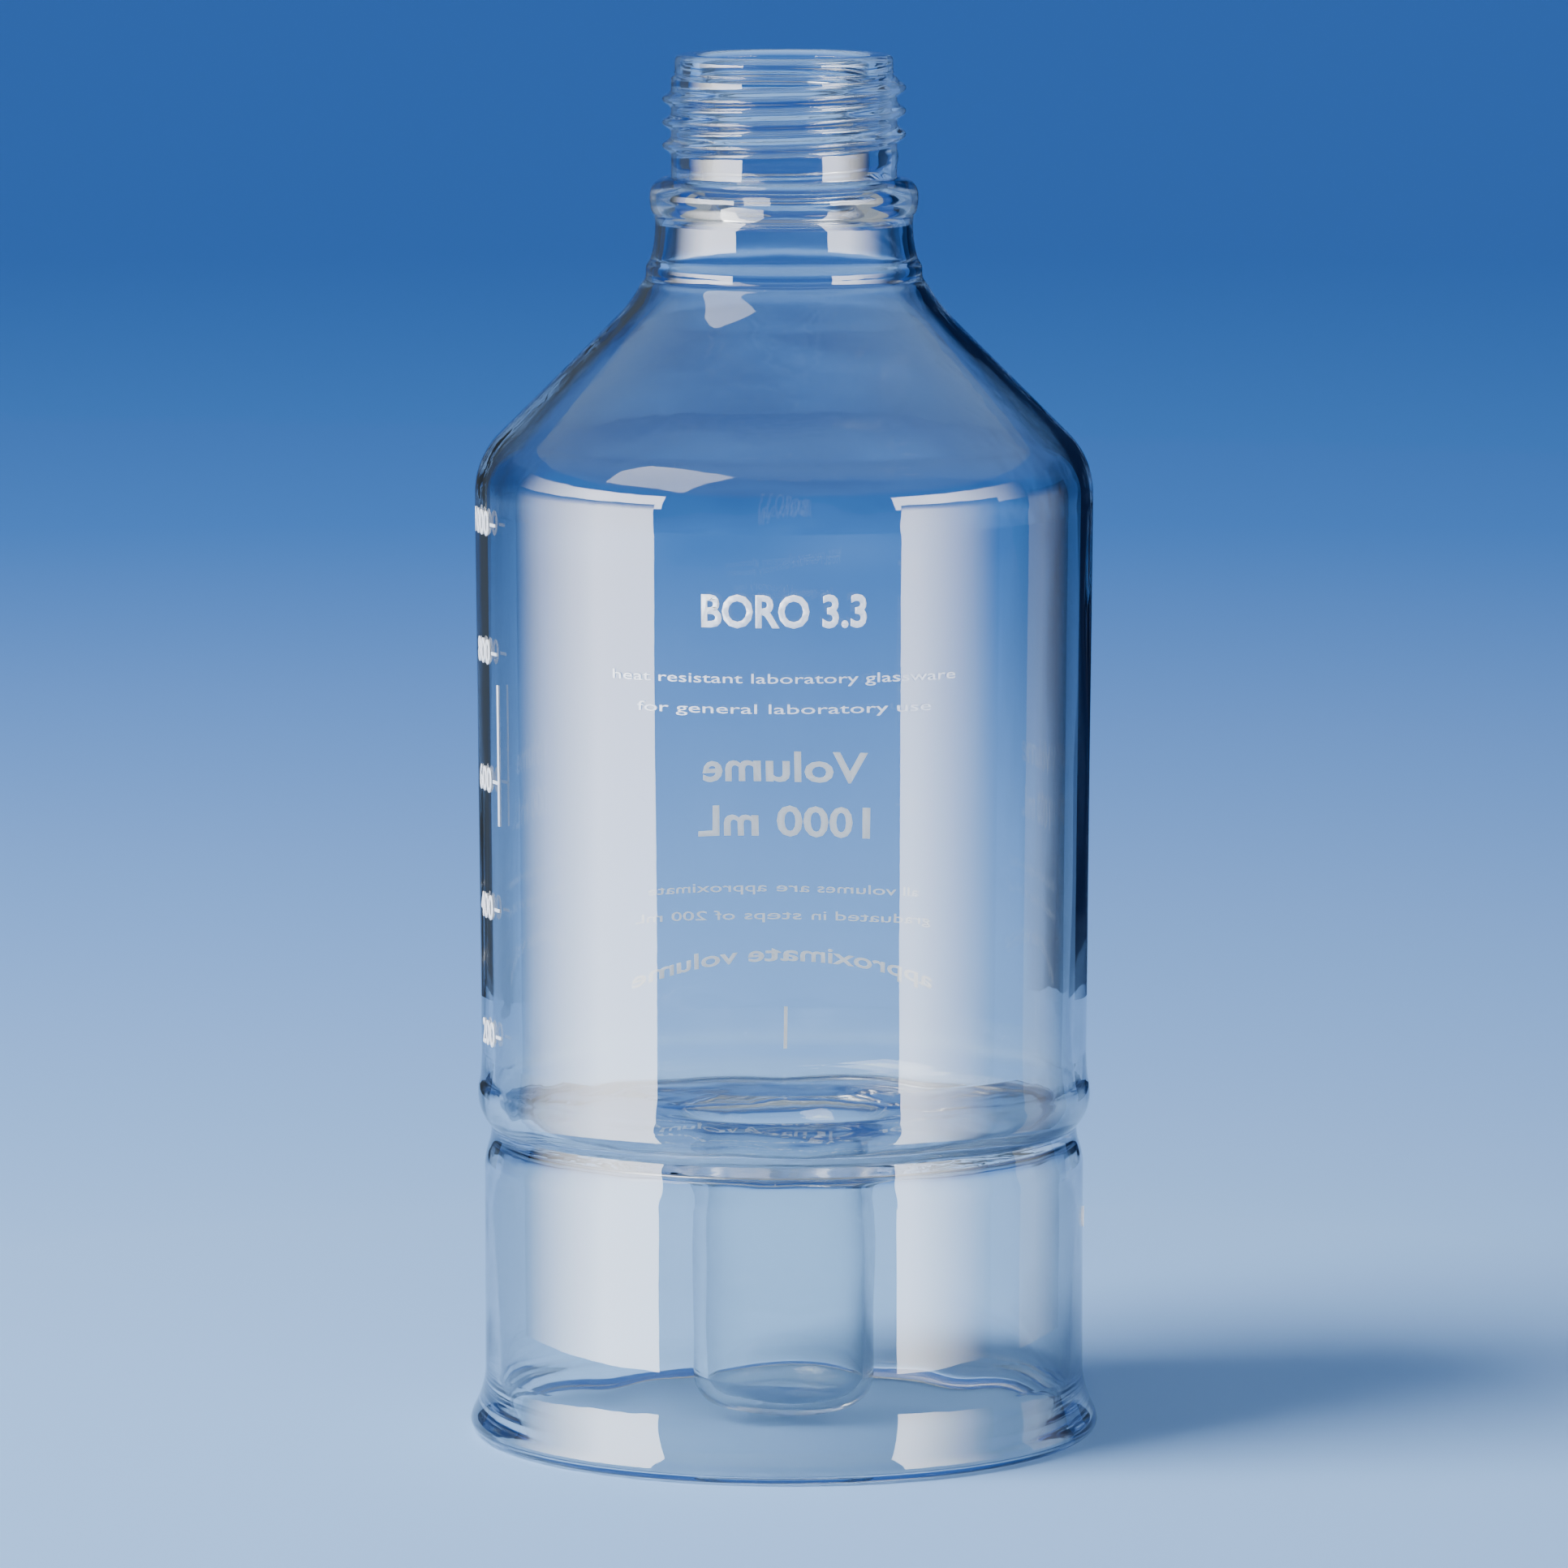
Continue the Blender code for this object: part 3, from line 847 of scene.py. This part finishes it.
def makeFloor():
    # flat round the bottle, then one smooth sweep up to an open rim
    look = stageLook
    sheet = bmesh.new()
    level = -look["contactGap"]
    path = [(0.0, level), (look["flatRadius"], level)]
    path += arc((look["flatRadius"], level + look["sweepRadius"]), look["sweepRadius"], -90, 0, 16)[1:]
    path += [(look["flatRadius"] + look["sweepRadius"], look["rimHeight"])]
    points = [sheet.verts.new((radius, 0.0, height)) for radius, height in path]
    for first, second in zip(points, points[1:]):
        sheet.edges.new((first, second))
    bmesh.ops.spin(sheet, geom=sheet.verts[:] + sheet.edges[:], cent=(0, 0, 0), axis=(0, 0, 1),
                   angle=2 * math.pi, steps=96, use_merge=True)
    bmesh.ops.remove_doubles(sheet, verts=sheet.verts, dist=tiny)
    for face in sheet.faces:
        face.smooth = True
    mesh = bpy.data.meshes.new("floor")
    sheet.to_mesh(mesh)
    sheet.free()
    floor = bpy.data.objects.new("floor", mesh)
    scene.collection.objects.link(floor)
    material = bpy.data.materials.new("floorCard")
    kit = NodeKit(material)
    away = kit.add("ShaderNodeVectorMath", {"operation": "LENGTH"}, {0: kit.objectPlace()})
    deep = kit.band(Wire(kit, away.outputs["Value"]), look["nearReach"], look["farReach"])
    color = kit.blendColor(deep ** look["deepPower"], look["floorNear"], look["floorFar"])
    shader = kit.add("ShaderNodeBsdfPrincipled", None, {
        "Base Color": color,
        "Roughness": 0.9,
        "Specular IOR Level": 0.0,
    })
    kit.finish(shader)
    mesh.materials.append(material)


def curvedPanel(name, panel, material, throughGlass):
    # upright curved sheet beside the bottle; only the glass shows it
    sheet = bmesh.new()
    x, y = onCircle((0, 0), panel["radius"], panel["start"] - 90)
    lower = sheet.verts.new((x, y, panel["low"]))
    upper = sheet.verts.new((x, y, panel["high"]))
    edge = sheet.edges.new((lower, upper))
    bmesh.ops.spin(sheet, geom=[lower, upper, edge], cent=(0, 0, 0), axis=(0, 0, 1),
                   angle=math.radians(panel["end"] - panel["start"]), steps=24)
    mesh = bpy.data.meshes.new(name)
    sheet.to_mesh(mesh)
    sheet.free()
    mesh.materials.append(material)
    piece = bpy.data.objects.new(name, mesh)
    scene.collection.objects.link(piece)
    piece.visible_camera = False
    piece.visible_diffuse = False
    piece.visible_transmission = throughGlass
    piece.visible_shadow = False


def panelShare(kit, panel):
    # 1 near the panel's start, fading to 0 at its end and along its top
    place = kit.add("ShaderNodeTexCoord")
    middle = (panel["start"] + panel["end"]) / 2
    turned = kit.add("ShaderNodeMapping", None, {"Vector": Wire(kit, place.outputs["Object"]),
                                                 "Rotation": (0, 0, math.radians(90 - middle))})
    apart = kit.add("ShaderNodeSeparateXYZ", None, {"Vector": kit.wire(turned)})
    angle = kit.add("ShaderNodeMath", {"operation": "ARCTAN2"},
                    {0: Wire(kit, apart.outputs["Y"]), 1: Wire(kit, apart.outputs["X"])})
    across = kit.band(kit.wire(angle), math.radians(panel["end"] - middle),
                      math.radians(panel["fullFrom"] - middle))
    top = kit.band(Wire(kit, apart.outputs["Z"]), panel["high"], panel["high"] - panel["topFade"])
    return across * top


def glowMaterial(name, panel):
    material = bpy.data.materials.new(name)
    kit = NodeKit(material)
    off = kit.add("ShaderNodeEmission", None, {"Strength": 0.0})
    lit = kit.add("ShaderNodeEmission", None, {"Strength": panel["glow"]})
    share = panelShare(kit, panel) ** stageLook["panelFalloff"]
    kit.finish(kit.add("ShaderNodeMixShader", None, {0: share, 1: kit.wire(off), 2: kit.wire(lit)}))
    return material


def cardMaterial(name, card):
    material = bpy.data.materials.new(name)
    kit = NodeKit(material)
    dark = kit.add("ShaderNodeEmission", None, {"Color": card["dark"]})
    air = kit.add("ShaderNodeBsdfTransparent")
    kit.finish(kit.add("ShaderNodeMixShader", None,
                       {0: panelShare(kit, card), 1: kit.wire(air), 2: kit.wire(dark)}))
    return material


def makeStage():
    makeFloor()
    for name, panel in softboxes.items():
        curvedPanel(name, panel, glowMaterial(name, panel), False)
    for name, card in darkCards.items():
        curvedPanel(name, card, cardMaterial(name, card), True)


def aim(thing, target):
    thing.rotation_euler = (Vector(target) - thing.location).to_track_quat("-Z", "Y").to_euler()


def makeKey():
    # large soft panel above and to the left; it lights the table and the enamel, not the gloss
    width, depth = stageLook["keySize"]
    sheet = bmesh.new()
    bmesh.ops.create_grid(sheet, x_segments=1, y_segments=1, size=0.5)
    bmesh.ops.scale(sheet, verts=sheet.verts, vec=(width, depth, 1))
    place = Vector(stageLook["keyPlace"])
    turn = (Vector(stageLook["keyTarget"]) - place).to_track_quat("-Z", "Y")
    bmesh.ops.rotate(sheet, verts=sheet.verts, cent=(0, 0, 0), matrix=turn.to_matrix())
    bmesh.ops.translate(sheet, verts=sheet.verts, vec=place)
    material = bpy.data.materials.new("keyGlow")
    kit = NodeKit(material)
    kit.finish(kit.add("ShaderNodeEmission", None, {"Strength": stageLook["keyGlow"]}))
    mesh = bpy.data.meshes.new("keySoftbox")
    sheet.to_mesh(mesh)
    sheet.free()
    mesh.materials.append(material)
    key = bpy.data.objects.new("keySoftbox", mesh)
    scene.collection.objects.link(key)
    key.visible_camera = False
    key.visible_glossy = False


def makeLights():
    makeKey()
    world = bpy.data.worlds.new("studio")
    scene.world = world
    kit = NodeKit(world)
    place = kit.add("ShaderNodeTexCoord")
    apart = kit.add("ShaderNodeSeparateXYZ", None, {"Vector": Wire(kit, place.outputs["Generated"])})
    up = kit.band(Wire(kit, apart.outputs["Z"]), 0.0, stageLook["worldFade"])
    sky = kit.add("ShaderNodeBackground", None, {
        "Color": kit.blendColor(up, stageLook["worldHorizon"], stageLook["worldTop"]),
        "Strength": stageLook["worldStrength"]})
    kit.add("ShaderNodeOutputWorld", None, {"Surface": kit.wire(sky)})


cameraSetup = {
    "distance": 1.84,
    "height": 0.348,
    "aimHeight": 0.119,
    "frameWidth": 0.286,     # width of the view at the bottle
    "sensor": 36.0,
}


def makeCamera():
    view = bpy.data.cameras.new("camera")
    camera = bpy.data.objects.new("camera", view)
    scene.collection.objects.link(camera)
    camera.location = (0.0, -cameraSetup["distance"], cameraSetup["height"])
    target = Vector((0.0, 0.0, cameraSetup["aimHeight"]))
    reach = (target - camera.location).length
    view.sensor_width = cameraSetup["sensor"]
    view.lens = cameraSetup["sensor"] * reach / cameraSetup["frameWidth"]
    aim(camera, target)
    scene.camera = camera


bounceLimit = 64         # thick glass turns some paths round many times before they leave


def setBounces():
    scene.cycles.max_bounces = bounceLimit
    scene.cycles.transmission_bounces = bounceLimit
    scene.cycles.glossy_bounces = bounceLimit
    scene.cycles.transparent_max_bounces = bounceLimit


makeCamera()
setBounces()
joint = makeClearJoint()
drawnGlass = makeGlass("drawnGlass", glassLook["drawn"])
workedGlass = makeGlass("workedGlass", glassLook["worked"])
enamel = makeEnamel()
print("materials ready")

blanks = [
    ("neckGlass", neckBlank, workedGlass, "threaded_neck"),
    ("throatSeamGlass", throatSeam, workedGlass, "neck_seam"),
    ("coneGlass", coneBlank, workedGlass, "shoulder_cone"),
    ("bodyGlass", bodyBlank, drawnGlass, "body_tube"),
    ("floorGlass", floorPlate, workedGlass, "bottle_floor"),
    ("waistSeamGlass", waistSeam, workedGlass, "waist_seam"),
    ("wellSeamGlass", wellSeam, workedGlass, "well_seam"),
    ("wellGlass", wellTube, drawnGlass, "well_tube"),
    ("skirtGlass", skirtBlank, drawnGlass, "skirt_tube"),
    ("footGlass", footBlank, workedGlass, "foot_ring"),
]
for name, build, material, node in blanks:
    placePiece(name, build(), [material, joint], node)
    print("glass made:", name)

scalePrints(enamel)
facePrints(enamel)
skirtHighlightDot(enamel)
print("prints made")

makeStage()
makeLights()
print("stage made")
